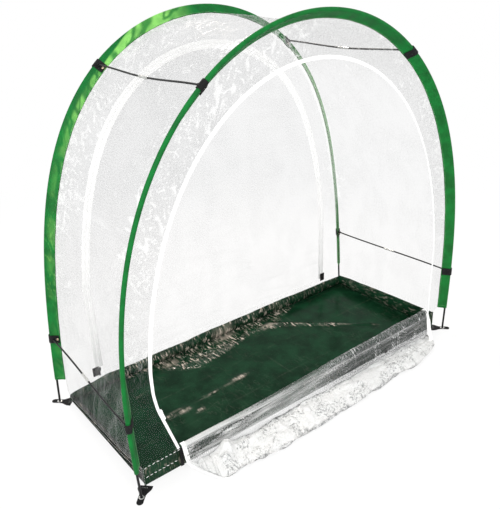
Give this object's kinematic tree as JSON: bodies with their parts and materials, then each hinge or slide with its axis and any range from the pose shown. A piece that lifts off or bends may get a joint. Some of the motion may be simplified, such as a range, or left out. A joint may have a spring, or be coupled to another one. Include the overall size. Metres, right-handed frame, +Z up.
{
  "type": "frost protection tent",
  "caption": "Low clear film tent over bent rod hoops in green fabric sleeves, with zipped end doors and a dark green tub groundsheet.",
  "frame": {"origin": "centre of the groundsheet's underside, on the ground", "axes": "+X along the tent's long side, +Y from the open front door to the shut back door, +Z up"},
  "size_m": [1.549, 0.82, 1.3605],
  "materials": {
    "glass_fibre": "black glass fibre rod, drawn smooth",
    "sleeve": "coated green weave, satin",
    "webbing": "black ribbed webbing",
    "brass": "dull plated",
    "steel": "bright drawn tube",
    "film": "clear creased film",
    "zip_tape": "white woven tape with moulded teeth",
    "zip_metal": "white enamel",
    "tub": "glossy creased sheet"
  },
  "bodies": {
    "tent": {"front_hoop_rod_1": "glass_fibre", "front_hoop_rod_2": "glass_fibre", "front_hoop_rod_3": "glass_fibre", "front_hoop_rod_4": "glass_fibre", "front_sleeve": "sleeve", "back_hoop_rod_1": "glass_fibre", "back_hoop_rod_2": "glass_fibre", "back_hoop_rod_3": "glass_fibre", "back_hoop_rod_4": "glass_fibre", "back_sleeve": "sleeve", "clip_front_top_left": "webbing", "clip_front_top_right": "webbing", "clip_front_low_left": "webbing", "clip_front_low_right": "webbing", "clip_back_top_left": "webbing", "clip_back_top_right": "webbing", "clip_back_low_left": "webbing", "clip_back_low_right": "webbing", "rivet_front_top_left": "brass", "rivet_front_top_right": "brass", "rivet_front_low_left": "brass", "rivet_front_low_right": "brass", "rivet_back_top_left": "brass", "rivet_back_top_right": "brass", "rivet_back_low_left": "brass", "rivet_back_low_right": "brass", "spacer_rod_top_left_front": "glass_fibre", "spacer_rod_top_left_back": "glass_fibre", "spacer_rod_top_right_front": "glass_fibre", "spacer_rod_top_right_back": "glass_fibre", "spacer_rod_low_left_front": "glass_fibre", "spacer_rod_low_left_back": "glass_fibre", "spacer_rod_low_right_front": "glass_fibre", "spacer_rod_low_right_back": "glass_fibre", "spacer_ferrule_top_left": "steel", "spacer_ferrule_top_right": "steel", "spacer_ferrule_low_left": "steel", "spacer_ferrule_low_right": "steel", "roof_film": "film", "front_panel": "film", "back_panel": "film", "front_door": "film", "front_zip_tape": "zip_tape", "back_zip_tape": "zip_tape", "tub_groundsheet": "tub", "strap_front_left": "webbing", "grommet_front_left": "steel", "strap_front_right": "webbing", "grommet_front_right": "steel", "strap_back_left": "webbing", "grommet_back_left": "steel", "strap_back_right": "webbing", "grommet_back_right": "steel"},
    "back_door": {"back_door": "film", "back_door_tape": "zip_tape"},
    "front_slider": {"front_zip_slider": "zip_metal"},
    "front_pull": {"front_zip_pull": "zip_metal"},
    "back_slider": {"back_zip_slider": "zip_metal"},
    "back_pull": {"back_zip_pull": "zip_metal"}
  },
  "joints": [
    {"name": "back_door_hinge", "type": "hinge", "parent": "tent", "child": "back_door", "pos_m": [0, 0.28182, 0.0808], "axis": [-1, 0, 0], "range_deg": [0, 93]},
    {"name": "front_slider_slide", "type": "slide", "parent": "tent", "child": "front_slider", "axis": [0.2969, 0, -0.9549], "range_m": [0, 0.155]},
    {"name": "front_pull_hinge", "type": "hinge", "parent": "front_slider", "child": "front_pull", "pos_m": [-0.63422, -0.28572, 0.24799], "axis": [-0.9549, 0, -0.2969], "range_deg": [0, 170]},
    {"name": "back_slider_slide", "type": "slide", "parent": "tent", "child": "back_slider", "axis": [0.0004, 0, 1], "range_m": [0, 0.3]},
    {"name": "back_pull_hinge", "type": "hinge", "parent": "back_slider", "child": "back_pull", "pos_m": [-0.58807, 0.28572, 0.0893], "axis": [1, 0, -0.0004], "range_deg": [0, 170]}
  ]
}
